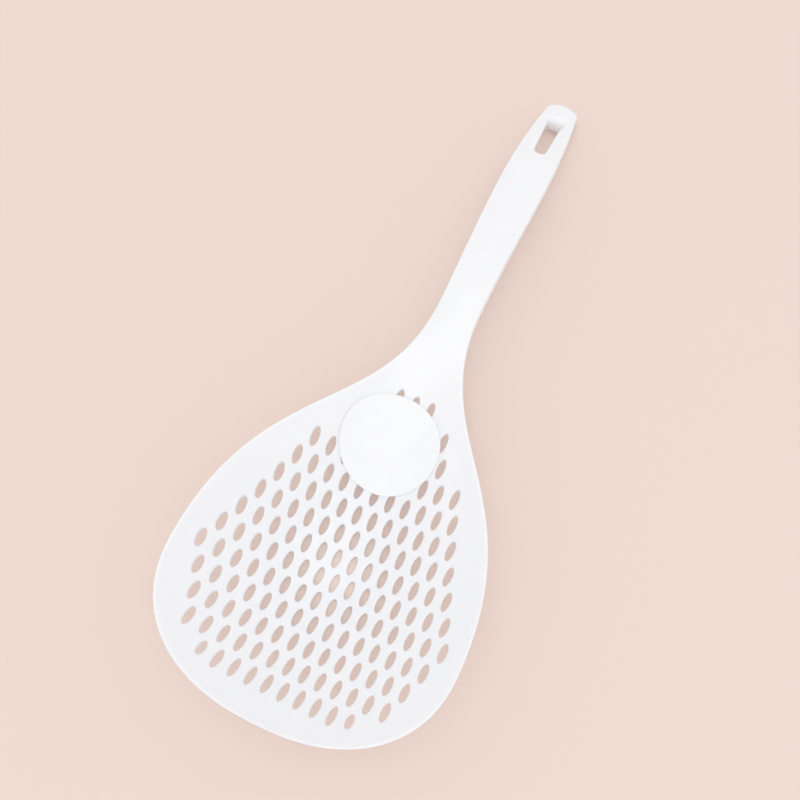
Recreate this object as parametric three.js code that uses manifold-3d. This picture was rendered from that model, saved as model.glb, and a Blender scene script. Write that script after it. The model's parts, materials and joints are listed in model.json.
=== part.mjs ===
// Slotted spoon: a one-shot plastic moulding with a perforated bowl and a hollow-backed handle,
// and the paper label stuck on the slope of the bowl below the neck.
// Millimetres, +Z up. The spoon is drawn as it leaves its mould: stations run along +Y from the
// bowl's tip, heights are taken from the lowest point inside the bowl, and every hole is drawn
// along Z. The finished spoon is then laid down on its bowl and the end of its handle.
import * as THREE from 'three';
import { mergeGeometries, mergeVertices } from 'three/addons/utils/BufferGeometryUtils.js';
import Module from 'manifold-3d';

const wasm = await Module();
wasm.setup();

// Lengths along the spoon
const TIP_TO_WIDEST = 55.5;
const WIDEST_TO_WAIST = 156.5;
const WAIST_TO_GRIP = 78.5;
const GRIP_TO_END = 57.2;

// Widths and the curves of the outline
const BOWL_WIDTH = 140;
const WAIST_WIDTH = 20.4;
const GRIP_WIDTH = 23.8;
const END_WIDTH = 16;
const END_ROUND_WIDTH = 6;
const END_ROUND_LENGTH = 3.2;
const TIP_ROUNDNESS = 2.26;
const SHOULDER_REACH = 86;
const NECK_REACH = 66;

// Heights of the edge and of the centre line
const RIM_HEIGHT = 39.2;
const NECK_HEIGHT = 34.7;
const ARCH_HEIGHT = 41.2;
const END_HEIGHT = 24.5;
const HANDLE_CROWN = 1.5;
const WIDEST_TO_NECK = 113;
const NECK_TO_ARCH = 70;

// Hollow of the bowl
const WIDEST_TO_DEEPEST = 15.2;
const RISE_LENGTH = 132.3;
const FRONT_CURVE = 2.16;
const SECTION_CURVE = 2.08;

// Walls
const WALL = 2.2;
const SIDE_DEPTH = 6.6;
const SKIRT_WALL = 2.4;
const SKIRT_DRAFT = 0.3;
const SKIRT_RUN_IN = 50;

// Hanging slot
const SLOT_NEAR_WIDTH = 6.2;
const SLOT_FAR_WIDTH = 7.8;
const SLOT_LENGTH = 24.8;
const SLOT_TO_END = 14.4;
const SLOT_NEAR_CORNER = 2.6;
const SLOT_FAR_CORNER = 1;
const SOLID_END_LEAD = 1.2;

// Drain holes, staggered row by row
const HOLE_WIDTH = 3.65;
const HOLE_LENGTH = 9.1;
const HOLE_PITCH = 8;
const ROW_PITCH = 10.95;
const ROW_COUNT = 14;
const FIRST_ROW = 17.4;
const HOLE_TO_RIM = 9.3;
const HOLE_FRONT_TO_RIM = 8.7;
const HOLE_SIDES = 8;

// Paper label
const LABEL_WIDTH = 48.2;
const LABEL_LENGTH = 48.2;
const LABEL_OFF_CENTRE = -3.1;
const WIDEST_TO_LABEL = 83.6;
const LABEL_THICKNESS = 0.2;
const LABEL_CLEARANCE = 0.3;
const LABEL_SIDES = 32;

// Facets of the shell
const TIP_STEPS = 6;
const HANDLE_STEP = 10;
const CORNER_STEPS = 4;
const ACROSS_STEPS = 10;

// Stations that follow from the lengths
const widest = TIP_TO_WIDEST;
const waist = widest + WIDEST_TO_WAIST;
const grip = waist + WAIST_TO_GRIP;
const spoonLength = grip + GRIP_TO_END;
const neck = widest + WIDEST_TO_NECK;
const arch = neck + NECK_TO_ARCH;
const deepest = widest + WIDEST_TO_DEEPEST;
const riseEnd = deepest + RISE_LENGTH;
const slotFar = spoonLength - SLOT_TO_END;
const slotNear = slotFar - SLOT_LENGTH;
const hollowEnd = slotFar - SOLID_END_LEAD;
const labelCentre = widest + WIDEST_TO_LABEL;

const shoulder = new THREE.CubicBezierCurve(
  new THREE.Vector2(widest, BOWL_WIDTH / 2),
  new THREE.Vector2(widest + SHOULDER_REACH, BOWL_WIDTH / 2),
  new THREE.Vector2(waist - NECK_REACH, WAIST_WIDTH / 2),
  new THREE.Vector2(waist, WAIST_WIDTH / 2),
);

// Half the width of the shoulder curve at a station, found by halving along the curve.
function shoulderHalfWidth(station) {
  let low = 0;
  let high = 1;
  for (let i = 0; i < 40; i += 1) {
    const middle = (low + high) / 2;
    if (shoulder.getPoint(middle).x < station) low = middle;
    else high = middle;
  }
  return shoulder.getPoint(low).y;
}

// Half the width of the outline: superellipse tip, curved shoulder, waisted handle, rounded end.
function halfWidth(station) {
  if (station <= widest) {
    const ahead = (widest - station) / TIP_TO_WIDEST;
    return (BOWL_WIDTH / 2) * (1 - ahead ** TIP_ROUNDNESS) ** (1 / TIP_ROUNDNESS);
  }
  if (station <= waist) return shoulderHalfWidth(station);
  if (station <= grip) {
    const swell = THREE.MathUtils.smoothstep(station, waist, grip);
    return THREE.MathUtils.lerp(WAIST_WIDTH, GRIP_WIDTH, swell) / 2;
  }
  const taper = ((station - grip) / GRIP_TO_END) ** 2;
  const straight = THREE.MathUtils.lerp(GRIP_WIDTH, END_WIDTH, taper) / 2;
  const intoEnd = Math.max(0, (station - spoonLength) / END_ROUND_LENGTH + 1);
  return straight - END_ROUND_WIDTH * (1 - Math.sqrt(Math.max(0, 1 - intoEnd ** 2)));
}

// Height of the top edge: the rim, the dip of the neck and the arch of the handle.
function edgeHeight(station) {
  if (station <= neck) {
    const fall = THREE.MathUtils.smoothstep(station, widest, neck);
    return THREE.MathUtils.lerp(RIM_HEIGHT, NECK_HEIGHT, fall);
  }
  if (station <= arch) {
    const climb = THREE.MathUtils.smoothstep(station, neck, arch);
    return THREE.MathUtils.lerp(NECK_HEIGHT, ARCH_HEIGHT, climb);
  }
  const drop = ((station - arch) / (spoonLength - arch)) ** 2;
  return THREE.MathUtils.lerp(ARCH_HEIGHT, END_HEIGHT, drop);
}

// Height of the top surface on the centre line: down the front of the bowl and up to the handle.
function centreHeight(station) {
  if (station < deepest) return RIM_HEIGHT * ((deepest - station) / deepest) ** FRONT_CURVE;
  const rise = THREE.MathUtils.smoothstep(station, deepest, riseEnd);
  return rise * (edgeHeight(station) + HANDLE_CROWN);
}

function topHeight(x, station) {
  const across = (Math.abs(x) / halfWidth(station)) ** SECTION_CURVE;
  return THREE.MathUtils.lerp(centreHeight(station), edgeHeight(station), across);
}

// How much longer a wall is along Z than along the surface's normal.
function steepness(x, station) {
  const delta = 0.05;
  const inside = THREE.MathUtils.clamp(station, 2 * delta, spoonLength - 2 * delta);
  const slopeX = (topHeight(x + delta, inside) - topHeight(x - delta, inside)) / (2 * delta);
  const slopeY = (topHeight(x, inside + delta) - topHeight(x, inside - delta)) / (2 * delta);
  return Math.hypot(1, slopeX, slopeY);
}

function outlineSlope(station) {
  const delta = 0.05;
  const inside = THREE.MathUtils.clamp(station, 2 * delta, spoonLength - 2 * delta);
  return (halfWidth(inside + delta) - halfWidth(inside - delta)) / (2 * delta);
}

// The columns of one cross-section: outer edge, foot of the skirt, and even steps in between.
function columns(station) {
  const half = halfWidth(station);
  const inset = SKIRT_WALL * Math.hypot(1, outlineSlope(station));
  const foot = Math.max(half - inset, half * 0.6);
  const top = foot - Math.min(SKIRT_DRAFT, half * 0.1);
  const xs = [-half, -foot];
  for (let i = 0; i <= ACROSS_STEPS; i += 1) xs.push(top * ((2 * i) / ACROSS_STEPS - 1));
  xs.push(foot, half);
  return xs;
}

// Height of the underside. The handle's sides reach down as a skirt, and its end is full depth.
function underside(x, station, isSkirt) {
  const foot = edgeHeight(station) - SIDE_DEPTH;
  if (station > hollowEnd) return foot;
  const plain = topHeight(x, station) - WALL * steepness(x, station);
  const skirt = THREE.MathUtils.smoothstep(station, riseEnd - SKIRT_RUN_IN, riseEnd);
  return isSkirt ? THREE.MathUtils.lerp(plain, foot, skirt) : plain;
}

function steps(from, to, longest) {
  const count = Math.max(1, Math.ceil((to - from) / longest));
  return Array.from({ length: count }, (_, i) => from + ((to - from) * i) / count);
}

// Stations of the cross-sections: closer at the tip, then midway between the rows of holes,
// then evenly along the handle and closer again round its end.
function stationList() {
  const firstGap = FIRST_ROW - ROW_PITCH / 2;
  const lastGap = firstGap + ROW_COUNT * ROW_PITCH;
  const tip = Array.from({ length: TIP_STEPS }, (_, i) => firstGap * ((i + 0.5) / TIP_STEPS) ** 2);
  const gaps = Array.from({ length: ROW_COUNT }, (_, row) => firstGap + row * ROW_PITCH);
  const corner = Array.from({ length: CORNER_STEPS + 1 }, (_, i) => {
    const turn = (Math.PI / 2) * (i / CORNER_STEPS);
    return spoonLength - END_ROUND_LENGTH * (1 - Math.sin(turn));
  });
  return [
    ...tip,
    ...gaps,
    ...steps(lastGap, hollowEnd, HANDLE_STEP),
    hollowEnd,
    ...steps(hollowEnd + SKIRT_DRAFT, spoonLength - END_ROUND_LENGTH, HANDLE_STEP),
    ...corner,
  ];
}

// A closed solid between an upper and a lower sheet of points given row by row.
function slab(upper, lower) {
  const rows = upper.length;
  const width = upper[0].length;
  const points = [...upper.flat(), ...lower.flat()];
  const index = [];
  const at = (sheet, row, column) => (sheet * rows + row) * width + column;
  const quad = (a, b, c, d) => index.push(a, b, c, a, c, d);
  for (let r = 0; r + 1 < rows; r += 1) {
    for (let c = 0; c + 1 < width; c += 1) {
      quad(at(0, r, c), at(0, r, c + 1), at(0, r + 1, c + 1), at(0, r + 1, c));
      quad(at(1, r, c), at(1, r + 1, c), at(1, r + 1, c + 1), at(1, r, c + 1));
    }
    quad(at(0, r, 0), at(0, r + 1, 0), at(1, r + 1, 0), at(1, r, 0));
    quad(at(0, r, width - 1), at(1, r, width - 1), at(1, r + 1, width - 1), at(0, r + 1, width - 1));
  }
  for (let c = 0; c + 1 < width; c += 1) {
    const last = rows - 1;
    quad(at(0, 0, c), at(1, 0, c), at(1, 0, c + 1), at(0, 0, c + 1));
    quad(at(0, last, c), at(0, last, c + 1), at(1, last, c + 1), at(1, last, c));
  }
  const geometry = new THREE.BufferGeometry().setFromPoints(points);
  geometry.setIndex(index);
  return geometry;
}

function toSolid(geometry) {
  const bare = geometry.clone();
  bare.deleteAttribute('normal');
  bare.deleteAttribute('uv');
  const merged = mergeVertices(bare);
  const vertProperties = new Float32Array(merged.attributes.position.array);
  const triVerts = new Uint32Array(merged.index.array);
  return new wasm.Manifold(new wasm.Mesh({ numProp: 3, vertProperties, triVerts }));
}

function toGeometry(solid) {
  const mesh = solid.getMesh();
  const geometry = new THREE.BufferGeometry();
  geometry.setAttribute('position', new THREE.BufferAttribute(mesh.vertProperties, 3));
  geometry.setIndex(new THREE.BufferAttribute(mesh.triVerts, 1));
  geometry.computeVertexNormals();
  return geometry;
}

// An upright prism of elliptical section that passes through the whole spoon.
function ellipsePrism(width, length, x, station, sides) {
  const height = 3 * (RIM_HEIGHT + ARCH_HEIGHT);
  const prism = new THREE.CylinderGeometry(1, 1, height, sides);
  prism.rotateX(Math.PI / 2);
  prism.scale(width / 2, length / 2, 1);
  prism.translate(x, station, 0);
  return prism;
}

function shell(stations) {
  const upper = [];
  const lower = [];
  for (const station of stations) {
    const xs = columns(station);
    const isSkirt = (i) => i < 2 || i > xs.length - 3;
    upper.push(xs.map((x) => new THREE.Vector3(x, station, topHeight(x, station))));
    lower.push(xs.map((x, i) => new THREE.Vector3(x, station, underside(x, station, isSkirt(i)))));
  }
  return slab(upper, lower);
}

// Distance of a place from the rim beside it, seen from above.
function rimDistance(x, station) {
  const reach = BOWL_WIDTH / 4;
  const step = 0.25;
  let nearest = BOWL_WIDTH;
  for (let along = Math.max(0, station - reach); along < station + reach; along += step) {
    nearest = Math.min(nearest, Math.hypot(halfWidth(along) - x, along - station));
  }
  return nearest;
}

// Staggered rows of holes, kept one margin away from the rim. A hole whose front end would come
// too near the rim is shortened at that end.
function drainHoles() {
  const prisms = [];
  for (let row = 0; row < ROW_COUNT; row += 1) {
    const station = FIRST_ROW + row * ROW_PITCH;
    const first = row % 2 === 0 ? HOLE_PITCH / 2 : 0;
    for (let x = first; rimDistance(x, station) > HOLE_TO_RIM; x += HOLE_PITCH) {
      const short = HOLE_FRONT_TO_RIM - rimDistance(x, station - HOLE_LENGTH / 2);
      const cut = THREE.MathUtils.clamp(short, 0, HOLE_LENGTH - HOLE_WIDTH);
      const sides = x > 0 ? [-x, x] : [x];
      for (const place of sides) {
        const length = HOLE_LENGTH - cut;
        prisms.push(ellipsePrism(HOLE_WIDTH, length, place, station + cut / 2, HOLE_SIDES));
      }
    }
  }
  return mergeGeometries(prisms);
}

// The slot has a round end towards the bowl and a wider flat one, which bears on the hook.
function hangingSlot() {
  const nearHalf = SLOT_NEAR_WIDTH / 2;
  const farHalf = SLOT_FAR_WIDTH / 2;
  const near = Math.min(SLOT_NEAR_CORNER, nearHalf * 0.95);
  const far = Math.min(SLOT_FAR_CORNER, farHalf * 0.95);
  const outline = new THREE.Shape();
  outline.moveTo(-nearHalf, slotNear + near);
  outline.absarc(-nearHalf + near, slotNear + near, near, Math.PI, 1.5 * Math.PI);
  outline.absarc(nearHalf - near, slotNear + near, near, -Math.PI / 2, 0);
  outline.absarc(farHalf - far, slotFar - far, far, 0, Math.PI / 2);
  outline.absarc(-farHalf + far, slotFar - far, far, Math.PI / 2, Math.PI);
  const depth = 3 * (RIM_HEIGHT + ARCH_HEIGHT);
  const prism = new THREE.ExtrudeGeometry(outline, { depth, bevelEnabled: false, curveSegments: 3 });
  prism.translate(0, 0, -depth / 2);
  return prism;
}

function moulding(stations) {
  const solid = toSolid(shell(stations)).subtract(toSolid(drainHoles()));
  return toGeometry(solid.subtract(toSolid(hangingSlot())));
}

// The label follows the facets of the bowl under it at one clearance, cut to an oval.
function label(stations) {
  const slope = (centreHeight(labelCentre + 1) - centreHeight(labelCentre - 1)) / 2;
  const planLength = LABEL_LENGTH / Math.hypot(1, slope);
  const reach = planLength / 2 + ROW_PITCH + HANDLE_STEP;
  const under = stations.filter((station) => Math.abs(station - labelCentre) < reach);
  const sheet = (offset) => under.map((station) => columns(station).map((x) => {
    const height = topHeight(x, station) + offset * steepness(x, station);
    return new THREE.Vector3(x, station, height);
  }));
  const paper = slab(sheet(LABEL_CLEARANCE + LABEL_THICKNESS), sheet(LABEL_CLEARANCE));
  const oval = ellipsePrism(LABEL_WIDTH, planLength, LABEL_OFF_CENTRE, labelCentre, LABEL_SIDES);
  return toGeometry(toSolid(paper).intersect(toSolid(oval)));
}

// The tilt at which both the bowl and the end of the handle touch a table.
function restTilt(stations) {
  const endFoot = underside(0, spoonLength, true);
  const slopes = stations
    .filter((station) => station < riseEnd)
    .map((station) => (endFoot - underside(0, station, false)) / (spoonLength - station));
  return Math.atan(Math.max(...slopes));
}

const plastic = new THREE.MeshStandardMaterial({ color: 0xf1f2f5, roughness: 0.35, metalness: 0 });
const paper = new THREE.MeshStandardMaterial({ color: 0xfbfbfa, roughness: 0.75, metalness: 0 });

const stations = stationList();

const spoonMoulding = new THREE.Mesh(moulding(stations), plastic);
spoonMoulding.name = 'spoon_moulding';

const paperLabel = new THREE.Mesh(label(stations), paper);
paperLabel.name = 'paper_label';

// Laid on a table: the bowl and the handle's end touch Z = 0, centred on X and Y.
const laidDown = new THREE.Group();
laidDown.add(spoonMoulding, paperLabel);
laidDown.rotation.x = -restTilt(stations);
laidDown.updateMatrixWorld(true);
const box = new THREE.Box3().setFromObject(laidDown, true);
const centre = box.getCenter(new THREE.Vector3());
laidDown.position.set(-centre.x, -centre.y, -box.min.z);

const spoon = new THREE.Group();
spoon.add(laidDown);

export default spoon;
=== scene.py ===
"""Looks of a slotted spoon: a white moulded skimmer with a bare round paper label on its bowl.

The spoon is drawn in its mould frame, in millimetres: X across, Y along the spoon from the bowl's
tip, Z up from the lowest point inside the bowl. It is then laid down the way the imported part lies.
"""

import json
import logging
import math
from dataclasses import dataclass
from enum import Enum
from functools import cached_property

import bpy
import numpy as np
from mathutils import Euler, Matrix, Vector
from mathutils.kdtree import KDTree

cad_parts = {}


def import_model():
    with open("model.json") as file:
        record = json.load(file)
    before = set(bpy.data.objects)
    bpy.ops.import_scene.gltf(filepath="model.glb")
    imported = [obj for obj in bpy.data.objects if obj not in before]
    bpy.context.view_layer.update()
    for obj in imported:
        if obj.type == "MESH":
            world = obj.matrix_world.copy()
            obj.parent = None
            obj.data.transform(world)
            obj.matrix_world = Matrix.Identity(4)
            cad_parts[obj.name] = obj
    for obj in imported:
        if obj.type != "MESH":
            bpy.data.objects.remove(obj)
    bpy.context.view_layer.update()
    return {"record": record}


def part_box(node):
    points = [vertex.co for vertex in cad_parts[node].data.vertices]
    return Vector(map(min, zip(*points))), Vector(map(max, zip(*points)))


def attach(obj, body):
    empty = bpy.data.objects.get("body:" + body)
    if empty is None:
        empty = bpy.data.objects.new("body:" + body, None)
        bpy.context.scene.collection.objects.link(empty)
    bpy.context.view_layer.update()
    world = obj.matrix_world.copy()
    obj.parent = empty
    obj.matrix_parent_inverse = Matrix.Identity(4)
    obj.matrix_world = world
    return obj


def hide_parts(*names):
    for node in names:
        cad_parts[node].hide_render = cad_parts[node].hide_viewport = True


LOG = logging.getLogger("slotted_spoon")
MM = 0.001
BODY = "root"
CURVE_POINTS = 2001
# Inputs of a Mix node by place, because their names repeat: the share, then the two things mixed
MIX_NUMBERS = (0, 2, 3)
MIX_COLOURS = (0, 6, 7)
MIX_COLOUR_RESULT = 2


def smooth_step(value: np.ndarray, start: float, end: float) -> np.ndarray:
    """Eases from 0 at start to 1 at end.

    Args:
        value: Where to evaluate the step.
        start: Where the step begins.
        end: Where the step is complete.

    Returns:
        The eased share, from 0 to 1.
    """
    share = np.clip((value - start) / (end - start), 0.0, 1.0)
    return share * share * (3.0 - 2.0 * share)


def blend(low: np.ndarray, high: np.ndarray, share: np.ndarray) -> np.ndarray:
    """Mixes two values by a share from 0 to 1."""
    return low + (high - low) * share


@dataclass(frozen=True)
class SpoonForm:
    """The surfaces of the spoon in its mould frame, all sizes in millimetres."""

    tip_to_widest: float = 55.5
    widest_to_waist: float = 156.5
    waist_to_grip: float = 78.5
    grip_to_end: float = 57.2
    bowl_width: float = 140.0
    waist_width: float = 20.4
    grip_width: float = 23.8
    end_width: float = 16.0
    end_round_width: float = 6.0
    end_round_length: float = 3.2
    tip_roundness: float = 2.26
    tip_arc: float = 90.0
    shoulder_reach: float = 86.0
    neck_reach: float = 66.0
    rim_height: float = 39.2
    neck_height: float = 34.7
    arch_height: float = 41.2
    end_height: float = 24.5
    handle_crown: float = 1.5
    widest_to_neck: float = 113.0
    neck_to_arch: float = 70.0
    widest_to_deepest: float = 15.2
    rise_length: float = 132.3
    front_curve: float = 2.16
    section_curve: float = 2.08
    wall: float = 2.2
    side_depth: float = 6.6
    skirt_wall: float = 2.4
    skirt_draft: float = 0.6
    skirt_run_in: float = 50.0
    slot_near_width: float = 6.2
    slot_far_width: float = 7.8
    slot_length: float = 24.8
    slot_to_end: float = 14.4
    slot_near_corner: float = 2.6
    slot_far_corner: float = 1.0
    solid_end_lead: float = 1.2
    rim_round: float = 1.7
    rim_foot_round: float = 0.6
    handle_round: float = 0.7
    foot_round: float = 0.8

    @property
    def waist(self) -> float:
        """Station of the handle's narrowest place."""
        return self.tip_to_widest + self.widest_to_waist

    @property
    def grip(self) -> float:
        """Station of the handle's widest place."""
        return self.waist + self.waist_to_grip

    @property
    def length(self) -> float:
        """Station of the handle's end."""
        return self.grip + self.grip_to_end

    @property
    def neck(self) -> float:
        """Station where the edge dips lowest."""
        return self.tip_to_widest + self.widest_to_neck

    @property
    def arch(self) -> float:
        """Station of the top of the handle's arch."""
        return self.neck + self.neck_to_arch

    @property
    def deepest(self) -> float:
        """Station of the lowest place in the bowl."""
        return self.tip_to_widest + self.widest_to_deepest

    @property
    def rise_end(self) -> float:
        """Station where the rise from the bowl has become the handle."""
        return self.deepest + self.rise_length

    @property
    def slot_far(self) -> float:
        """Station of the slot's flat end."""
        return self.length - self.slot_to_end

    @property
    def slot_near(self) -> float:
        """Station of the slot's round end."""
        return self.slot_far - self.slot_length

    @property
    def hollow_end(self) -> float:
        """Station where the hollow back of the handle ends."""
        return self.slot_far - self.solid_end_lead

    @cached_property
    def shoulder(self) -> tuple[np.ndarray, np.ndarray]:
        """The curve from the bowl's shoulder to the waist.

        Returns:
            Stations and half widths along the curve.
        """
        u = np.linspace(0.0, 1.0, CURVE_POINTS)
        weights = ((1 - u) ** 3, 3 * u * (1 - u) ** 2, 3 * u * u * (1 - u), u**3)
        stations = (
            self.tip_to_widest,
            self.tip_to_widest + self.shoulder_reach,
            self.waist - self.neck_reach,
            self.waist,
        )
        halves = (self.bowl_width / 2, self.bowl_width / 2, self.waist_width / 2, self.waist_width / 2)
        along = sum(w * s for w, s in zip(weights, stations))
        across = sum(w * h for w, h in zip(weights, halves))
        return along, across

    def half_width(self, station: np.ndarray) -> np.ndarray:
        """Half the width of the outline: round tip, shoulder, waisted handle and rounded end.

        Args:
            station: Places along the spoon.

        Returns:
            The half widths there.
        """
        ahead = np.clip((self.tip_to_widest - station) / self.tip_to_widest, 0.0, 1.0)
        tip = self.bowl_width / 2 * (1 - ahead**self.tip_roundness) ** (1 / self.tip_roundness)
        shoulder = np.interp(station, *self.shoulder)
        swell = smooth_step(station, self.waist, self.grip)
        handle = blend(self.waist_width, self.grip_width, swell) / 2
        taper = np.clip((station - self.grip) / self.grip_to_end, 0.0, 1.0) ** 2
        into_end = np.clip((station - self.length) / self.end_round_length + 1, 0.0, 1.0)
        rounding = self.end_round_width * (1 - np.sqrt(1 - into_end**2))
        end = blend(self.grip_width, self.end_width, taper) / 2 - rounding
        zones = [station <= self.tip_to_widest, station <= self.waist, station <= self.grip]
        return np.select(zones, [tip, shoulder, handle], end)

    def edge_height(self, station: np.ndarray) -> np.ndarray:
        """Height of the top edge: the rim, the dip of the neck and the arch of the handle.

        Args:
            station: Places along the spoon.

        Returns:
            The heights there.
        """
        fall = smooth_step(station, self.tip_to_widest, self.neck)
        climb = smooth_step(station, self.neck, self.arch)
        drop = np.clip((station - self.arch) / (self.length - self.arch), 0.0, 1.0) ** 2
        rim = blend(self.rim_height, self.neck_height, fall)
        arch = blend(self.neck_height, self.arch_height, climb)
        end = blend(self.arch_height, self.end_height, drop)
        return np.select([station <= self.neck, station <= self.arch], [rim, arch], end)

    def centre_height(self, station: np.ndarray) -> np.ndarray:
        """Height of the top surface on the centre line.

        Args:
            station: Places along the spoon.

        Returns:
            The heights there.
        """
        ahead = np.clip((self.deepest - station) / self.deepest, 0.0, None)
        rise = smooth_step(station, self.deepest, self.rise_end)
        front = self.rim_height * ahead**self.front_curve
        return front + rise * (self.edge_height(station) + self.handle_crown)

    def top_height(self, x: np.ndarray, station: np.ndarray) -> np.ndarray:
        """Height of the top surface before its edges are rounded."""
        across = (np.abs(x) / self.half_width(station)) ** self.section_curve
        return blend(self.centre_height(station), self.edge_height(station), across)

    def steepness(self, x: np.ndarray, station: np.ndarray) -> np.ndarray:
        """How much longer the wall is along Z than along the surface's normal.

        Args:
            x: Places across the spoon.
            station: Places along the spoon.

        Returns:
            The factors there, 1 where the surface is level.
        """
        step = 0.05
        inside = np.clip(station, 2 * step, self.length - 2 * step)
        slope_x = (self.top_height(x + step, inside) - self.top_height(x - step, inside)) / (2 * step)
        slope_y = (self.top_height(x, inside + step) - self.top_height(x, inside - step)) / (2 * step)
        return np.sqrt(1 + slope_x**2 + slope_y**2)

    def handle_share(self, station: np.ndarray) -> np.ndarray:
        """How far the section has turned from bowl into handle, from 0 to 1."""
        return smooth_step(station, self.rise_end - self.skirt_run_in, self.rise_end)

    def underside(self, x: np.ndarray, station: np.ndarray, inset: np.ndarray) -> np.ndarray:
        """Height of the underside before its edges are rounded.

        Args:
            x: Places across the spoon.
            station: Places along the spoon.
            inset: Distance of each place from the outline.

        Returns:
            The height of the wall's lower face, with the handle's skirt and its full-depth end.
        """
        foot = self.edge_height(station) - self.side_depth
        plain = self.top_height(x, station) - self.wall * self.steepness(x, station)
        half_draft = self.skirt_draft / 2
        skirt = 1 - smooth_step(inset, self.skirt_wall - half_draft, self.skirt_wall + half_draft)
        end = smooth_step(station, self.hollow_end - half_draft, self.hollow_end + half_draft)
        depth = np.maximum(skirt * self.handle_share(station), end)
        return blend(plain, foot, depth)

    def outline(self, spacing: float) -> np.ndarray:
        """Points of the closed outline, seen from above.

        Args:
            spacing: Rough distance between two points.

        Returns:
            An array of (x, station) rows, from the tip up one side and back down the other.
        """
        tip = self.tip_to_widest * (1 - np.cos(np.linspace(0, math.pi / 2, int(self.tip_arc / spacing))))
        straight = np.arange(self.tip_to_widest, self.length - self.end_round_length, spacing)
        turn = np.linspace(0, math.pi / 2, int(self.end_round_width * 2 / spacing) + 2)
        corner = self.length - self.end_round_length * (1 - np.sin(turn))
        stations = np.concatenate((tip, straight, corner))
        halves = self.half_width(stations)
        right = np.column_stack((halves, stations))
        left = np.column_stack((-halves[::-1], stations[::-1]))
        end_x = np.arange(right[-1, 0], left[0, 0], -spacing)
        end = np.column_stack((end_x, np.full(len(end_x), self.length)))
        return np.concatenate((right, end, left))


@dataclass(frozen=True)
class ShellGrid:
    """How finely the moulding's sheets are divided."""

    tip_rows: int = 22
    tip_reach: float = 14.0
    tip_crowding: float = 2.2
    row_step: float = 2.2
    end_rows: int = 24
    end_reach: float = 6.0
    half_columns: int = 40
    edge_columns: int = 24
    edge_lead: float = 10.0
    edge_release: tuple[float, float] = (2.0, 8.0)
    wall_rows: int = 7
    wall_reach: float = 0.6
    outline_spacing: float = 0.1
    rim_spacing: float = 1.0

    def stations(self, form: SpoonForm) -> np.ndarray:
        """Stations of the rows, crowded at the tip, at the hollow's end and at the handle's end.

        Args:
            form: The spoon's surfaces.

        Returns:
            The stations in rising order.
        """
        tip = self.tip_reach * (np.arange(1, self.tip_rows) / self.tip_rows) ** self.tip_crowding
        end = form.length - self.end_reach * (np.arange(self.end_rows)[::-1] / self.end_rows) ** 2
        middle = np.arange(self.tip_reach, form.length - self.end_reach, self.row_step)
        beside = np.linspace(-self.wall_reach, self.wall_reach, self.wall_rows)
        wall = form.hollow_end + form.skirt_draft * beside
        clear = np.abs(middle - form.hollow_end) > form.skirt_draft
        return np.sort(np.concatenate((tip, middle[clear], wall, end)))

    def columns(self, form: SpoonForm, station: float) -> np.ndarray:
        """Places across one row, crowded towards both edges.

        Args:
            form: The spoon's surfaces.
            station: Where the row lies.

        Returns:
            The x values from the left edge to the right edge.
        """
        half = float(form.half_width(np.array(station)))
        turn = np.linspace(0, math.pi / 2, self.half_columns + 1)
        even = half * np.cos(turn)
        insets = form.waist_width / 2 * (1 - np.cos(turn[: self.edge_columns]))
        inner = np.linspace(1, 0, self.half_columns + 2 - self.edge_columns)[1:]
        held = np.concatenate((half - insets, (half - insets[-1]) * inner))
        run_in = form.rise_end - form.skirt_run_in
        into_handle = smooth_step(station, run_in, form.rise_end - self.edge_lead)
        start, end = (form.hollow_end + reach for reach in self.edge_release)
        past_hollow = smooth_step(station, start, end)
        right = blend(even, held, into_handle * (1 - past_hollow))
        return np.concatenate((-right[:-1], right[::-1]))


@dataclass(frozen=True)
class DrainHoles:
    """The staggered drain holes and the rounded lips of the holes and the slot, in millimetres."""

    width: float = 3.65
    length: float = 9.1
    pitch: float = 8.0
    row_pitch: float = 10.95
    rows: int = 14
    columns: int = 19
    first_row: float = 17.4
    to_rim: float = 9.3
    front_to_rim: float = 8.7
    sides: int = 24
    lip: float = 0.55
    lip_angles: tuple[float, ...] = (15.0, 35.0, 60.0, 90.0)
    slot_lip: float = 0.9
    slot_lip_angles: tuple[float, ...] = (10.0, 20.0, 30.0, 40.0, 50.0, 60.0, 70.0, 80.0, 90.0)
    slot_far_lip: float = 7.0
    slot_scoop_length: float = 6.0
    slot_scoop_share: float = 0.35
    slot_foot_lip: float = 0.5
    slot_point_gap: float = 1.5
    slot_corner_points: int = 9
    clear_height: float = 3.0
    lead_in: float = 0.1
    face_mark: float = 10.0
    ray_reach: float = 200.0


class Finish(Enum):
    """The record's material slots, paired with the pieces in main but not applied to them."""

    PLASTIC = "white_plastic"
    PAPER = "label_paper"


def lip_profile(
    radius: np.ndarray,
    degrees: tuple[float, ...],
    holes: DrainHoles,
) -> list[tuple[np.ndarray, np.ndarray]]:
    """Section of a cutter where it leaves a surface over a rounded lip.

    Args:
        radius: Radius of the lip, one or one for each point of the cutter's outline.
        degrees: Slopes of the lip at its points, from the surface to the upright wall.
        holes: Sizes shared by all cutters.

    Returns:
        Pairs of growth beyond the hole and height over the surface, from outside to inside.
    """
    angles = [math.radians(slope) for slope in degrees]
    arc = [(radius * (1 - math.sin(a)), -radius * (1 - math.cos(a))) for a in angles]
    reach = arc[0][0] + (holes.lead_in - arc[0][1]) / math.tan(angles[0])
    clear = np.full_like(reach, holes.clear_height)
    lead_in = np.full_like(reach, holes.lead_in)
    return [(reach, clear), (reach, lead_in), *arc]


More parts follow.
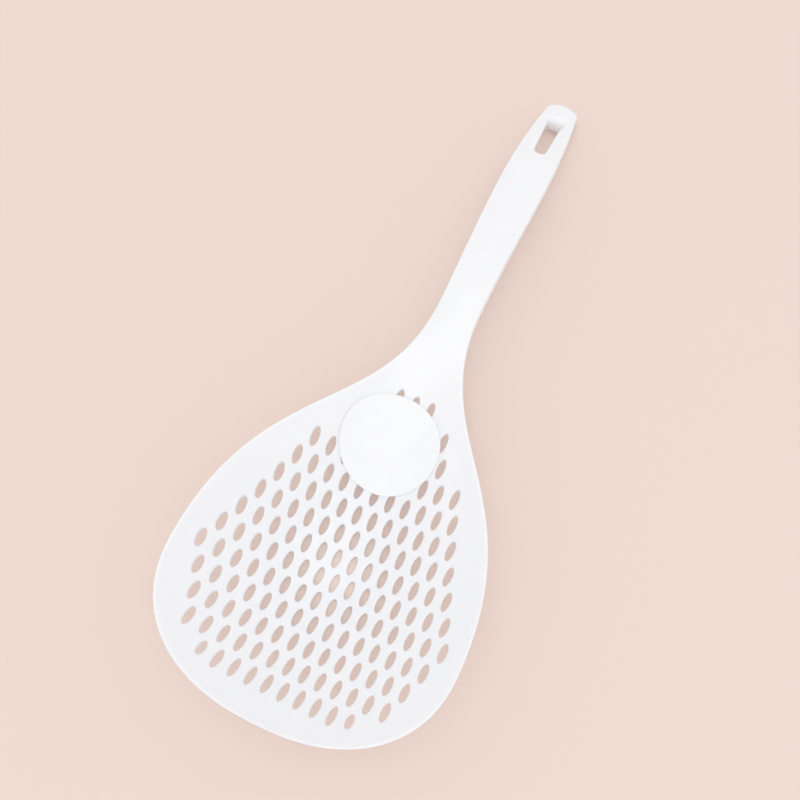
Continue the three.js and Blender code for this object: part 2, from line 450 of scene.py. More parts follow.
def rings_to_mesh(name: str, rings: list[np.ndarray]) -> bpy.types.Mesh:
    """Joins closed rings of points into one closed skin.

    Args:
        name: Name of the new mesh.
        rings: Rings of equal length, from the top down, each turning left seen from above.

    Returns:
        The mesh, with a flat cap on its first and last ring.
    """
    count = len(rings[0])
    points = np.concatenate(rings)
    faces: list[list[int]] = [list(range(count))]
    for ring in range(len(rings) - 1):
        above = ring * count
        below = above + count
        for i in range(count):
            j = (i + 1) % count
            faces.append([above + i, below + i, below + j, above + j])
    faces.append([(len(rings) - 1) * count + i for i in reversed(range(count))])
    mesh = bpy.data.meshes.new(name)
    mesh.from_pydata(points.tolist(), [], faces)
    return mesh


class Perforator:
    """A Geometry Nodes tree that cuts the drain holes and the hanging slot out of the shell."""

    def __init__(self, holes: DrainHoles) -> None:
        """Keeps the sizes and builds the tree once.

        Args:
            holes: Sizes of the holes and the slot.
        """
        self.holes = holes
        self.tree = bpy.data.node_groups.new("cut_drain_holes", "GeometryNodeTree")
        self.sockets: dict[str, str] = {}
        self._build()

    def _input(self, name: str, kind: str) -> None:
        """Adds one named input and keeps its identifier."""
        socket = self.tree.interface.new_socket(name=name, in_out="INPUT", socket_type=kind)
        self.sockets[name] = socket.identifier

    def _node(self, kind: str, **settings: object) -> bpy.types.Node:
        """Adds one node.

        Args:
            kind: Blender's name of the node.
            settings: Values of its properties.

        Returns:
            The new node.
        """
        node = self.tree.nodes.new(kind)
        for key, value in settings.items():
            setattr(node, key, value)
        return node

    def _join(self, source: bpy.types.NodeSocket, target: bpy.types.NodeSocket) -> None:
        """Links two sockets."""
        self.tree.links.new(source, target)

    def _fed(self, node: bpy.types.Node, values: tuple[object, ...]) -> bpy.types.NodeSocket:
        """Feeds a node's inputs in order.

        Args:
            node: The node.
            values: A socket or a number for each input.

        Returns:
            The node's first output.
        """
        for socket, value in zip(node.inputs, values):
            if isinstance(value, bpy.types.NodeSocket):
                self._join(value, socket)
            else:
                socket.default_value = value
        return node.outputs[0]

    def _math(self, operation: str, *values: object) -> bpy.types.NodeSocket:
        """Works out one operation on sockets or numbers."""
        return self._fed(self._node("ShaderNodeMath", operation=operation), values)

    def _vector(self, *values: object) -> bpy.types.NodeSocket:
        """Combines three sockets or numbers into a vector."""
        return self._fed(self._node("ShaderNodeCombineXYZ"), values)

    def _place(self) -> tuple[bpy.types.NodeSocket, ...]:
        """Splits the place of the point being worked on.

        Returns:
            Its x, y and z.
        """
        split = self._node("ShaderNodeSeparateXYZ")
        self._join(self._node("GeometryNodeInputPosition").outputs[0], split.inputs[0])
        return tuple(split.outputs)

    def _cast(self, shell: bpy.types.NodeSocket, down: bool) -> bpy.types.Node:
        """Casts a ray at the shell from above or below each point.

        Args:
            shell: The shell's geometry.
            down: Whether the ray comes from above.

        Returns:
            The Raycast node.
        """
        far = self.holes.ray_reach
        x, y, _ = self._place()
        ray = self._node("GeometryNodeRaycast")
        self._join(shell, ray.inputs["Target Geometry"])
        self._join(self._vector(x, y, far if down else -far), ray.inputs["Source Position"])
        ray.inputs["Ray Direction"].default_value = (0, 0, -1 if down else 1)
        ray.inputs["Ray Length"].default_value = 2 * far
        return ray

    def _lattice(self, group: bpy.types.Node, shell: bpy.types.NodeSocket) -> bpy.types.NodeSocket:
        """Makes the staggered points and drops those too near the rim.

        Args:
            group: The tree's input node.
            shell: The shell's geometry.

        Returns:
            The points where a hole is cut.
        """
        pitch, row_pitch = group.outputs["Hole Pitch"], group.outputs["Row Pitch"]
        rows, columns = group.outputs["Rows"], group.outputs["Columns"]
        span_x = self._math("MULTIPLY", pitch, self._math("SUBTRACT", columns, 1.0))
        span_y = self._math("MULTIPLY", row_pitch, self._math("SUBTRACT", rows, 1.0))
        grid = self._node("GeometryNodeMeshGrid")
        sizes = {"Size X": span_x, "Size Y": span_y, "Vertices X": columns, "Vertices Y": rows}
        for name, source in sizes.items():
            self._join(source, grid.inputs[name])
        _, y, _ = self._place()
        half_span = self._math("MULTIPLY", span_y, 0.5)
        row = self._math("ROUND", self._math("DIVIDE", self._math("ADD", y, half_span), row_pitch))
        shifted = self._math("SUBTRACT", 1.0, self._math("MODULO", row, 2.0))
        stagger = self._math("MULTIPLY", shifted, self._math("MULTIPLY", pitch, 0.5))
        along = self._math("ADD", group.outputs["First Row"], half_span)
        move = self._node("GeometryNodeSetPosition")
        self._join(grid.outputs["Mesh"], move.inputs["Geometry"])
        self._join(self._vector(stagger, along, 0.0), move.inputs["Offset"])
        clear = self._node("FunctionNodeCompare", data_type="FLOAT", operation="GREATER_THAN")
        self._join(self._rim_distance(group, 0.0), clear.inputs[0])
        self._join(group.outputs["Hole to Rim"], clear.inputs[1])
        drop = self._node("FunctionNodeBooleanMath", operation="NAND")
        self._join(clear.outputs[0], drop.inputs[0])
        self._join(self._cast(shell, True).outputs["Is Hit"], drop.inputs[1])
        keep = self._node("GeometryNodeDeleteGeometry", domain="POINT")
        self._join(move.outputs[0], keep.inputs["Geometry"])
        self._join(drop.outputs[0], keep.inputs["Selection"])
        return keep.outputs[0]

    def _rim_distance(self, group: bpy.types.Node, back: object) -> bpy.types.NodeSocket:
        """Measures how far each point, or a place in front of it, is from the rim.

        Args:
            group: The tree's input node.
            back: How far the place lies towards the bowl's tip, as a socket or a number.

        Returns:
            The distance, seen from above.
        """
        rim = self._node("GeometryNodeObjectInfo")
        self._join(group.outputs["Rim Line"], rim.inputs["Object"])
        near = self._node("GeometryNodeProximity", target_element="EDGES")
        self._join(rim.outputs["Geometry"], near.inputs["Geometry"])
        x, y, _ = self._place()
        place = self._vector(x, self._math("SUBTRACT", y, back), 0.0)
        self._join(place, near.inputs["Sample Position"])
        return near.outputs["Distance"]

    def _instances(self, group: bpy.types.Node, points: bpy.types.NodeSocket) -> bpy.types.Node:
        """Puts a cutter on each point, shortened where its front end comes near the rim.

        Args:
            group: The tree's input node.
            points: The points where a hole is cut.

        Returns:
            The node that holds the instances.
        """
        length = group.outputs["Hole Length"]
        front = self._rim_distance(group, self._math("MULTIPLY", length, 0.5))
        short = self._math("SUBTRACT", group.outputs["Front to Rim"], front)
        keep = self._node("GeometryNodeCaptureAttribute")
        item = keep.capture_items.new("FLOAT", "Shortening")
        self._join(points, keep.inputs["Geometry"])
        self._join(self._math("MAXIMUM", short, 0.0), keep.inputs[item.name])
        cut = keep.outputs[item.name]
        shift = self._node("GeometryNodeSetPosition")
        self._join(keep.outputs["Geometry"], shift.inputs["Geometry"])
        self._join(self._vector(0.0, self._math("MULTIPLY", cut, 0.5), 0.0), shift.inputs["Offset"])
        share = self._math("SUBTRACT", 1.0, self._math("DIVIDE", cut, length))
        cutter = self._node("GeometryNodeObjectInfo")
        self._join(group.outputs["Hole Cutter"], cutter.inputs["Object"])
        copies = self._node("GeometryNodeInstanceOnPoints")
        self._join(shift.outputs[0], copies.inputs["Points"])
        self._join(cutter.outputs["Geometry"], copies.inputs["Instance"])
        self._join(self._vector(1.0, share, 1.0), copies.inputs["Scale"])
        return copies

    def _build(self) -> None:
        """Builds the tree: points, cutters laid on both faces, the cut and the finish."""
        self._input("Shell", "NodeSocketGeometry")
        lengths = ("Hole Pitch", "Row Pitch", "First Row", "Hole Length", "Hole to Rim", "Front to Rim")
        for name in (*lengths, "Face Mark"):
            self._input(name, "NodeSocketFloat")
        for name in ("Rows", "Columns"):
            self._input(name, "NodeSocketInt")
        for name in ("Rim Line", "Hole Cutter", "Slot Cutter"):
            self._input(name, "NodeSocketObject")
        self._input("Finish", "NodeSocketMaterial")
        self.tree.interface.new_socket(name="Spoon", in_out="OUTPUT", socket_type="NodeSocketGeometry")
        group = self._node("NodeGroupInput")
        shell = group.outputs["Shell"]

        copies = self._instances(group, self._lattice(group, shell))
        real = self._node("GeometryNodeRealizeInstances")
        self._join(copies.outputs[0], real.inputs[0])

        x, y, z = self._place()
        mark = group.outputs["Face Mark"]
        heights = []
        for down in (False, True):
            hit = self._node("ShaderNodeSeparateXYZ")
            self._join(self._cast(shell, down).outputs["Hit Position"], hit.inputs[0])
            over = self._math("SUBTRACT" if down else "ADD", z, mark)
            heights.append(self._math("ADD", hit.outputs[2], over))
        upper = self._math("GREATER_THAN", z, 0.0)
        pick = self._node("ShaderNodeMix", data_type="FLOAT")
        for socket, source in zip(MIX_NUMBERS, (upper, *heights)):
            self._join(source, pick.inputs[socket])
        lay = self._node("GeometryNodeSetPosition")
        self._join(real.outputs[0], lay.inputs["Geometry"])
        self._join(self._vector(x, y, pick.outputs[0]), lay.inputs["Position"])

        slot = self._node("GeometryNodeObjectInfo")
        self._join(group.outputs["Slot Cutter"], slot.inputs["Object"])
        cut = self._node("GeometryNodeMeshBoolean", operation="DIFFERENCE", solver="MANIFOLD")
        self._join(shell, cut.inputs["Mesh 1"])
        self._join(lay.outputs[0], cut.inputs["Mesh 2"])
        self._join(slot.outputs["Geometry"], cut.inputs["Mesh 2"])
        whole = self._node("GeometryNodeRealizeInstances")
        self._join(cut.outputs[0], whole.inputs[0])
        dress = self._node("GeometryNodeSetMaterial")
        self._join(whole.outputs[0], dress.inputs["Geometry"])
        self._join(group.outputs["Finish"], dress.inputs["Material"])
        self._join(dress.outputs[0], self._node("NodeGroupOutput").inputs[0])

    def cut(
        self,
        shell: bpy.types.Object,
        helpers: dict[str, bpy.types.Object],
        finish: bpy.types.Material,
    ) -> bpy.types.Mesh:
        """Runs the tree on the shell.

        Args:
            shell: The plain shell.
            helpers: The rim line and the cutters, by input name.
            finish: The material of the result.

        Returns:
            The perforated moulding as a plain mesh.
        """
        values: dict[str, object] = {
            "Hole Pitch": self.holes.pitch,
            "Row Pitch": self.holes.row_pitch,
            "First Row": self.holes.first_row,
            "Hole Length": self.holes.length,
            "Hole to Rim": self.holes.to_rim,
            "Front to Rim": self.holes.front_to_rim,
            "Face Mark": self.holes.face_mark,
            "Rows": self.holes.rows,
            "Columns": self.holes.columns,
            "Finish": finish,
            **helpers,
        }
        modifier = shell.modifiers.new("cut_drain_holes", "NODES")
        modifier.node_group = self.tree
        for name, value in values.items():
            modifier[self.sockets[name]] = value
        shell.update_tag()
        graph = bpy.context.evaluated_depsgraph_get()
        mesh = bpy.data.meshes.new_from_object(shell.evaluated_get(graph))
        shell.modifiers.remove(modifier)
        return mesh


class SurfaceGrain:
    """A shader group of fine, uneven grain shared by the plastic and the paper."""

    def __init__(self) -> None:
        """Builds the group once."""
        self.tree = bpy.data.node_groups.new("surface_grain", "ShaderNodeTree")
        interface = self.tree.interface
        for name in ("Broad Scale", "Fine Scale", "Fine Share"):
            interface.new_socket(name=name, in_out="INPUT", socket_type="NodeSocketFloat")
        for name in ("Broad", "Height"):
            interface.new_socket(name=name, in_out="OUTPUT", socket_type="NodeSocketFloat")
        nodes, links = self.tree.nodes, self.tree.links
        given = nodes.new("NodeGroupInput")
        result = nodes.new("NodeGroupOutput")
        place = nodes.new("ShaderNodeTexCoord")
        noises = {}
        for name, detail in (("Broad Scale", 3.0), ("Fine Scale", 2.0)):
            noise = nodes.new("ShaderNodeTexNoise")
            noise.inputs["Detail"].default_value = detail
            links.new(place.outputs["Object"], noise.inputs["Vector"])
            links.new(given.outputs[name], noise.inputs["Scale"])
            noises[name] = noise.outputs["Fac"]
        broad, fine = noises["Broad Scale"], noises["Fine Scale"]
        mix = nodes.new("ShaderNodeMix")
        for socket, source in zip(MIX_NUMBERS, (given.outputs["Fine Share"], broad, fine)):
            links.new(source, mix.inputs[socket])
        links.new(broad, result.inputs["Broad"])
        links.new(mix.outputs[0], result.inputs["Height"])


@dataclass(frozen=True)
class SurfaceFinish:
    """One finish: its colours, gloss and grain."""

    name: str
    low_colour: tuple[float, float, float]
    high_colour: tuple[float, float, float]
    low_roughness: float
    high_roughness: float
    broad_scale: float
    fine_scale: float
    fine_share: float
    bump_strength: float
    bump_distance: float
    specular: float
    subsurface: float
    subsurface_scale: float
    subsurface_radius: tuple[float, float, float] = (1.0, 0.9, 0.8)

    def material(self, grain: SurfaceGrain) -> bpy.types.Material:
        """Makes the material.

        Args:
            grain: The shared grain group.

        Returns:
            A material whose colour, gloss and bump vary with the grain.
        """
        material = bpy.data.materials.new(self.name)
        material.use_nodes = True
        nodes, links = material.node_tree.nodes, material.node_tree.links
        shader = nodes["Principled BSDF"]
        shader.inputs["Specular IOR Level"].default_value = self.specular
        shader.inputs["Subsurface Weight"].default_value = self.subsurface
        shader.inputs["Subsurface Radius"].default_value = self.subsurface_radius
        shader.inputs["Subsurface Scale"].default_value = self.subsurface_scale
        group = nodes.new("ShaderNodeGroup")
        group.node_tree = grain.tree
        group.inputs["Broad Scale"].default_value = self.broad_scale
        group.inputs["Fine Scale"].default_value = self.fine_scale
        group.inputs["Fine Share"].default_value = self.fine_share
        colour = nodes.new("ShaderNodeMix")
        colour.data_type = "RGBA"
        share, low, high = (colour.inputs[socket] for socket in MIX_COLOURS)
        low.default_value = (*self.low_colour, 1.0)
        high.default_value = (*self.high_colour, 1.0)
        links.new(group.outputs["Broad"], share)
        links.new(colour.outputs[MIX_COLOUR_RESULT], shader.inputs["Base Color"])
        gloss = nodes.new("ShaderNodeMapRange")
        gloss.inputs["To Min"].default_value = self.low_roughness
        gloss.inputs["To Max"].default_value = self.high_roughness
        links.new(group.outputs["Height"], gloss.inputs["Value"])
        links.new(gloss.outputs["Result"], shader.inputs["Roughness"])
        bump = nodes.new("ShaderNodeBump")
        bump.inputs["Strength"].default_value = self.bump_strength
        bump.inputs["Distance"].default_value = self.bump_distance
        links.new(group.outputs["Height"], bump.inputs["Height"])
        links.new(bump.outputs["Normal"], shader.inputs["Normal"])
        return material


MOULDED_PLASTIC = SurfaceFinish(
    name="white_moulded_plastic",
    low_colour=(0.885, 0.903, 0.945),
    high_colour=(0.915, 0.933, 0.97),
    low_roughness=0.24,
    high_roughness=0.42,
    broad_scale=28.0,
    fine_scale=900.0,
    fine_share=0.35,
    bump_strength=0.12,
    bump_distance=0.0004,
    specular=0.5,
    subsurface=0.4,
    subsurface_scale=0.004,
)
LABEL_PAPER = SurfaceFinish(
    name="label_paper",
    low_colour=(0.915, 0.922, 0.94),
    high_colour=(0.94, 0.947, 0.965),
    low_roughness=0.5,
    high_roughness=0.68,
    broad_scale=120.0,
    fine_scale=2600.0,
    fine_share=0.6,
    bump_strength=0.18,
    bump_distance=0.0001,
    specular=0.4,
    subsurface=0.0,
    subsurface_scale=0.001,
)


@dataclass
class Moulding:
    """The one-piece spoon: perforated bowl, rim, neck and handle."""

    form: SpoonForm
    grid: ShellGrid
    holes: DrainHoles
    name: str = "white_spoon"
    node: str = "spoon_moulding"
    smooth_angle: float = 40.0

    def _insets(self, x: np.ndarray, station: np.ndarray) -> np.ndarray:
        """Distance of each place from the outline, seen from above.

        Args:
            x: Places across the spoon.
            station: Places along the spoon.

        Returns:
            The distances, in the shape of x.
        """
        line = self.form.outline(self.grid.outline_spacing)
        tree = KDTree(len(line))
        for i, (across, along) in enumerate(line):
            tree.insert((across, along, 0.0), i)
        tree.balance()
        flat = zip(x.ravel(), station.ravel())
        found = [tree.find((across, along, 0.0))[2] for across, along in flat]
        return np.array(found).reshape(x.shape)

    @staticmethod
    def _round(inset: np.ndarray, radius: np.ndarray) -> np.ndarray:
        """How far a rounded edge falls away at each distance from the outline."""
        short = np.clip(radius - inset, 0.0, radius)
        return radius - np.sqrt(radius**2 - short**2)

    def shell(self) -> bpy.types.Object:
        """Builds the closed shell without its holes.

        Returns:
            A new object in the mould frame, in millimetres.
        """
        form = self.form
        rows = self.grid.stations(form)
        x = np.array([self.grid.columns(form, station) for station in rows])
        y = np.repeat(rows[:, None], x.shape[1], axis=1)
        inset = self._insets(x, y)
        inset[:, (0, -1)] = 0.0
        turned = form.handle_share(y)
        edge_round = blend(form.rim_round, form.handle_round, turned)
        foot_round = blend(form.rim_foot_round, form.foot_round, turned)
        top = form.top_height(x, y) - self._round(inset, edge_round)
        under = form.underside(x, y, inset) + self._round(inset, foot_round)
        upper = np.stack((x, y, top), axis=-1).reshape(-1, 3)
        lower = np.stack((x, y, under), axis=-1).reshape(-1, 3)
        count, width = x.shape
        index = np.arange(count * width).reshape(count, width)
        below = index + count * width
        quads = [
            (index[:-1, :-1], index[:-1, 1:], index[1:, 1:], index[1:, :-1]),
            (below[:-1, :-1], below[1:, :-1], below[1:, 1:], below[:-1, 1:]),
            (index[:-1, 0], index[1:, 0], below[1:, 0], below[:-1, 0]),
            (index[:-1, -1], below[:-1, -1], below[1:, -1], index[1:, -1]),
            (index[0, :-1], below[0, :-1], below[0, 1:], index[0, 1:]),
            (index[-1, :-1], index[-1, 1:], below[-1, 1:], below[-1, :-1]),
        ]
        faces = np.concatenate([np.stack([c.ravel() for c in quad], axis=1) for quad in quads])
        mesh = bpy.data.meshes.new(self.name)
        mesh.from_pydata(np.concatenate((upper, lower)).tolist(), [], faces.tolist())
        shell = bpy.data.objects.new(self.name, mesh)
        bpy.context.collection.objects.link(shell)
        return shell

    def _hole_cutter(self) -> bpy.types.Mesh:
        """Makes the cutter of one hole.

        Returns:
            A closed skin, its upper rings marked high and its lower rings low.
        """
        holes = self.holes
        turn = np.linspace(0, 2 * math.pi, holes.sides, endpoint=False)
        lip = lip_profile(np.array(holes.lip), holes.lip_angles, holes)
        levels = [(grow, holes.face_mark + rise) for grow, rise in lip]
        levels += [(grow, -holes.face_mark - rise) for grow, rise in reversed(lip)]
        rings = []
        for grow, height in levels:
            across = (holes.width / 2 + grow) * np.cos(turn)
            along = (holes.length / 2 + grow) * np.sin(turn)
            rings.append(np.column_stack((across, along, np.full(holes.sides, height))))
        return rings_to_mesh("hole_cutter", rings)

    def _slot_line(self) -> tuple[np.ndarray, np.ndarray]:
        """Outline of the hanging slot and its outward directions, seen from above.

        Returns:
            Two arrays of (x, station) rows, the points turning left.
        """
        form = self.form
        near, far = form.slot_near_corner, form.slot_far_corner
        near_x, far_x = form.slot_near_width / 2 - near, form.slot_far_width / 2 - far
        near_y, far_y = form.slot_near + near, form.slot_far - far
        corners = (
            (-near_x, near_y, near, math.pi),
            (near_x, near_y, near, 1.5 * math.pi),
            (far_x, far_y, far, 0.0),
            (-far_x, far_y, far, 0.5 * math.pi),
        )
        arcs = []
        for x, y, radius, start in corners:
            turn = start + np.linspace(0, math.pi / 2, self.holes.slot_corner_points)
            out = np.column_stack((np.cos(turn), np.sin(turn)))
            arcs.append((np.array((x, y)) + radius * out, out))
        points, outward = [], []
        for (arc, out), (following, _) in zip(arcs, arcs[1:] + arcs[:1]):
            count = int(np.linalg.norm(following[0] - arc[-1]) / self.holes.slot_point_gap)
            side = np.linspace(arc[-1], following[0], count + 2)[1:-1]
            points += [arc, side]
            outward += [out, np.repeat(out[-1:], count, axis=0)]
        return np.concatenate(points), np.concatenate(outward)

    def _slot_cutter(self) -> bpy.types.Mesh:
        """Makes the slot's cutter, with a deep scoop towards the handle's end.

        Returns:
            A closed skin, its rings laid on the top and the foot of the handle.
        """
        form, holes = self.form, self.holes
        line, outward = self._slot_line()
        towards_end = np.clip(outward[:, 1], 0.0, 1.0) ** 2
        beside_end = smooth_step(line[:, 1], form.slot_far - holes.slot_scoop_length, form.slot_far)
        share = np.maximum(towards_end, holes.slot_scoop_share * beside_end)
        lip = blend(holes.slot_lip, holes.slot_far_lip, share)
        foot_lip = np.full(len(line), holes.slot_foot_lip)
        rings = []
        for grow, rise in lip_profile(lip, holes.slot_lip_angles, holes):
            ring = line + outward * grow[:, None]
            height = form.top_height(ring[:, 0], ring[:, 1]) + rise
            rings.append(np.column_stack((ring, height)))
        for grow, rise in reversed(lip_profile(foot_lip, holes.lip_angles, holes)):
            ring = line + outward * grow[:, None]
            height = form.edge_height(ring[:, 1]) - form.side_depth - rise
            rings.append(np.column_stack((ring, height)))
        return rings_to_mesh("slot_cutter", rings)

    def _rim_line(self) -> bpy.types.Mesh:
        """Makes the outline as a line.

        Returns:
            A mesh of edges only, closed on itself.
        """
        line = self.form.outline(self.grid.rim_spacing)
        points = np.column_stack((line, np.zeros(len(line)))).tolist()
        edges = [(i, (i + 1) % len(points)) for i in range(len(points))]
        mesh = bpy.data.meshes.new("rim_line")
        mesh.from_pydata(points, edges, [])
        return mesh

    def build(self, finish: bpy.types.Material) -> bpy.types.Object:
        """Builds the perforated spoon in its mould frame.

        Args:
            finish: The plastic.

        Returns:
            The finished object, still in millimetres.
        """
        spoon = self.shell()
        shapes = {
            "Rim Line": self._rim_line(),
            "Hole Cutter": self._hole_cutter(),
            "Slot Cutter": self._slot_cutter(),
        }
        helpers = {name: bpy.data.objects.new(mesh.name, mesh) for name, mesh in shapes.items()}
        for helper in helpers.values():
            bpy.context.collection.objects.link(helper)
        spoon.data = Perforator(self.holes).cut(spoon, helpers, finish)
        for helper in helpers.values():
            bpy.data.objects.remove(helper)
        spoon.data.shade_smooth()
        spoon.data.set_sharp_from_angle(angle=math.radians(self.smooth_angle))
        return spoon


@dataclass
class PaperLabel:
    """The bare round sticker on the slope of the bowl, in millimetres."""

    form: SpoonForm
    width: float = 48.2
    length: float = 48.2
    off_centre: float = -3.1
    widest_to_centre: float = 83.6
    thickness: float = 0.16
    clearance: float = 0.1
    rings: int = 22
    sides: int = 96
    lifted_edge: float = 0.2
    lift_width: float = 0.3
    slope_step: float = 1.0
    smooth_angle: float = 40.0
    name: str = "round_label"
    node: str = "paper_label"

    def _sheets(self) -> tuple[np.ndarray, np.ndarray]:
        """Lays the two faces of the paper over the bowl, its left edge lifted a little.

        Returns:
            The points of the lower and the upper face, ring by ring, with the middle last.
        """
        form = self.form
        centre = form.tip_to_widest + self.widest_to_centre
        step = self.slope_step
        heights = form.centre_height(np.array((centre - step, centre + step)))
        slope = (heights[1] - heights[0]) / (2 * step)
        half_length = self.length / 2 / math.hypot(1, slope)
        turn = np.linspace(0, 2 * math.pi, self.sides, endpoint=False)
        share = np.linspace(0, 1, self.rings + 1)[1:, None]
        across = self.off_centre + self.width / 2 * share * np.cos(turn)
        along = centre + half_length * share * np.sin(turn)
        lift = self.lifted_edge * smooth_step(-share * np.cos(turn), 1 - self.lift_width, 1.0)
        x = np.append(across.ravel(), self.off_centre)
        y = np.append(along.ravel(), centre)
        rise = np.append(lift.ravel(), 0.0)
        steep = form.steepness(x, y)
        base = form.top_height(x, y) + rise * steep
        lower = np.column_stack((x, y, base + self.clearance * steep))
        upper = np.column_stack((x, y, base + (self.clearance + self.thickness) * steep))
        return lower, upper

    def _faces(self) -> list[list[int]]:
        """Joins the points of both faces and closes the cut edge between them.

        Returns:
            The corners of each face, all pointing outwards.
        """
        count = self.rings * self.sides + 1
        faces = []
        for sheet in (0, 1):
            first = sheet * count
            hub = first + count - 1
            for i in range(self.sides):
                j = (i + 1) % self.sides
                fan = [hub, first + i, first + j]
                faces.append(fan if sheet else fan[::-1])
                for ring in range(self.rings - 1):
                    inner = first + ring * self.sides
                    outer = inner + self.sides
                    quad = [inner + i, outer + i, outer + j, inner + j]
                    faces.append(quad if sheet else quad[::-1])
        rim = (self.rings - 1) * self.sides
        for i in range(self.sides):
            j = (i + 1) % self.sides
            faces.append([rim + i, rim + j, count + rim + j, count + rim + i])
        return faces

    def build(self, finish: bpy.types.Material) -> bpy.types.Object:
        """Builds the label on the bowl's surface.

        Args:
            finish: The paper.

        Returns:
            The label in the mould frame, in millimetres.
        """
        mesh = bpy.data.meshes.new(self.name)
        mesh.from_pydata(np.concatenate(self._sheets()).tolist(), [], self._faces())
        mesh.materials.append(finish)
        mesh.shade_smooth()
        mesh.set_sharp_from_angle(angle=math.radians(self.smooth_angle))
        label = bpy.data.objects.new(self.name, mesh)
        bpy.context.collection.objects.link(label)
        return label


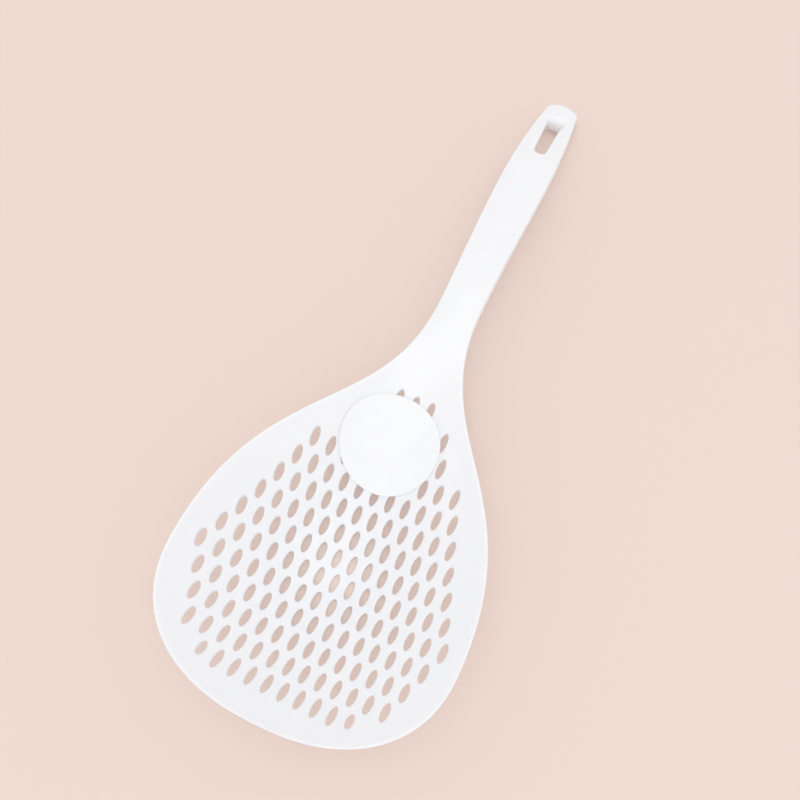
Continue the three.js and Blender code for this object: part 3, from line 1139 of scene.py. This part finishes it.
@dataclass(frozen=True)
class Studio:
    """Floor, light and camera, in metres and degrees."""

    camera_place: tuple[float, float, float] = (0.06523, -0.13544, 0.49854)
    camera_turn: tuple[float, float, float] = (16.4446, 1.6477, 25.4162)
    lens: float = 47.087
    sensor: float = 36.0
    floor_size: float = 12.0
    floor_colour: tuple[float, float, float] = (0.845, 0.693, 0.627)
    floor_roughness: float = 0.6
    floor_glow: float = 0.25
    sky: float = 0.83
    key_place: tuple[float, float, float] = (0.15, -0.2, 2.4)
    key_size: float = 1.6
    key_power: float = 13.2

    def camera(self) -> None:
        """Sets the camera at the photograph's viewing angle."""
        data = bpy.data.cameras.new("camera")
        data.lens = self.lens
        data.sensor_width = self.sensor
        camera = bpy.data.objects.new("camera", data)
        camera.location = self.camera_place
        camera.rotation_euler = Euler([math.radians(a) for a in self.camera_turn])
        bpy.context.collection.objects.link(camera)
        bpy.context.scene.camera = camera

    @staticmethod
    def _seen(tree: bpy.types.NodeTree) -> bpy.types.NodeSocket:
        """Tells rays that show the background from rays that only light the spoon.

        Args:
            tree: The node tree of the floor or the world.

        Returns:
            1 for what the camera sees, also in gloss and through glass, and 0 for the rest.
        """
        path = tree.nodes.new("ShaderNodeLightPath")
        shows = path.outputs["Is Camera Ray"]
        for other in ("Is Glossy Ray", "Is Transmission Ray"):
            either = tree.nodes.new("ShaderNodeMath")
            either.operation = "MAXIMUM"
            tree.links.new(shows, either.inputs[0])
            tree.links.new(path.outputs[other], either.inputs[1])
            shows = either.outputs[0]
        return shows

    def floor(self) -> None:
        """Lays the plain pale floor, its shadows softened by a faint glow of its own colour."""
        half = self.floor_size / 2
        corners = [(-half, -half, 0), (half, -half, 0), (half, half, 0), (-half, half, 0)]
        mesh = bpy.data.meshes.new("floor")
        mesh.from_pydata(corners, [], [(0, 1, 2, 3)])
        material = bpy.data.materials.new("pale_floor")
        material.use_nodes = True
        nodes, links = material.node_tree.nodes, material.node_tree.links
        shader = nodes["Principled BSDF"]
        shader.inputs["Base Color"].default_value = (*self.floor_colour, 1.0)
        shader.inputs["Roughness"].default_value = self.floor_roughness
        glow = nodes.new("ShaderNodeEmission")
        glow.inputs["Color"].default_value = (*self.floor_colour, 1.0)
        share = nodes.new("ShaderNodeMath")
        share.operation = "MULTIPLY"
        share.inputs[1].default_value = self.floor_glow
        links.new(self._seen(material.node_tree), share.inputs[0])
        mix = nodes.new("ShaderNodeMixShader")
        links.new(share.outputs[0], mix.inputs[0])
        links.new(shader.outputs[0], mix.inputs[1])
        links.new(glow.outputs[0], mix.inputs[2])
        links.new(mix.outputs[0], nodes["Material Output"].inputs["Surface"])
        mesh.materials.append(material)
        floor = bpy.data.objects.new("floor", mesh)
        bpy.context.collection.objects.link(floor)

    def key_light(self) -> None:
        """Hangs a large square soft lamp high above the spoon, facing it."""
        data = bpy.data.lights.new("key_light", "AREA")
        data.size = self.key_size
        data.energy = self.key_power
        light = bpy.data.objects.new("key_light", data)
        light.location = self.key_place
        light.rotation_euler = Vector(self.key_place).to_track_quat("Z", "Y").to_euler()
        bpy.context.collection.objects.link(light)

    def sky_light(self) -> None:
        """Lights the spoon evenly from all round, in front of a plain pale backdrop."""
        world = bpy.data.worlds.new("studio")
        world.use_nodes = True
        nodes, links = world.node_tree.nodes, world.node_tree.links
        sky = nodes["Background"]
        sky.inputs["Color"].default_value = (1, 1, 1, 1)
        sky.inputs["Strength"].default_value = self.sky
        backdrop = nodes.new("ShaderNodeBackground")
        backdrop.inputs["Color"].default_value = (*self.floor_colour, 1.0)
        mix = nodes.new("ShaderNodeMixShader")
        links.new(self._seen(world.node_tree), mix.inputs[0])
        links.new(sky.outputs[0], mix.inputs[1])
        links.new(backdrop.outputs[0], mix.inputs[2])
        links.new(mix.outputs[0], nodes["World Output"].inputs["Surface"])
        bpy.context.scene.world = world


def lay_down(piece: bpy.types.Object, frame: dict) -> Matrix:
    """Works out how the spoon lies on the table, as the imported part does.

    Args:
        piece: The moulding, in its mould frame and in millimetres.
        frame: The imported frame.

    Returns:
        The matrix from the mould frame to the part's frame, in metres.
    """
    seat = next(m for m in frame["record"]["mounts"] if m["name"] == "hook_seat")
    tilt = math.asin(seat["axis"][2])
    turn = Matrix.Rotation(-tilt, 4, "X") @ Matrix.Scale(MM, 4)
    places = np.array([turn @ v.co for v in piece.data.vertices])
    low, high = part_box("spoon_moulding")
    middle = (places[:, 1].min() + places[:, 1].max()) / 2
    shift = Vector((0.0, (low[1] + high[1]) / 2 - middle, low[2] - places[:, 2].min()))
    return Matrix.Translation(shift) @ turn


def main() -> None:
    """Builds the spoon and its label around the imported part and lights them."""
    logging.basicConfig(level=logging.INFO, format="%(name)s: %(message)s")
    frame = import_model()
    bpy.context.scene.view_settings.view_transform = "Standard"
    studio = Studio()
    studio.camera()
    studio.floor()
    studio.sky_light()
    studio.key_light()

    form = SpoonForm()
    grain = SurfaceGrain()
    moulding = Moulding(form, ShellGrid(), DrainHoles())
    spoon = moulding.build(MOULDED_PLASTIC.material(grain))
    sticker = PaperLabel(form)
    label = sticker.build(LABEL_PAPER.material(grain))
    laid = lay_down(spoon, frame)
    for piece, node, finish in (
        (spoon, moulding.node, Finish.PLASTIC),
        (label, sticker.node, Finish.PAPER),
    ):
        piece.data.transform(laid)
        piece.data.update()
        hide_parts(node)
        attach(piece, BODY)
        LOG.info("%s: %d faces", piece.name, len(piece.data.polygons))


if __name__ == "__main__":
    main()
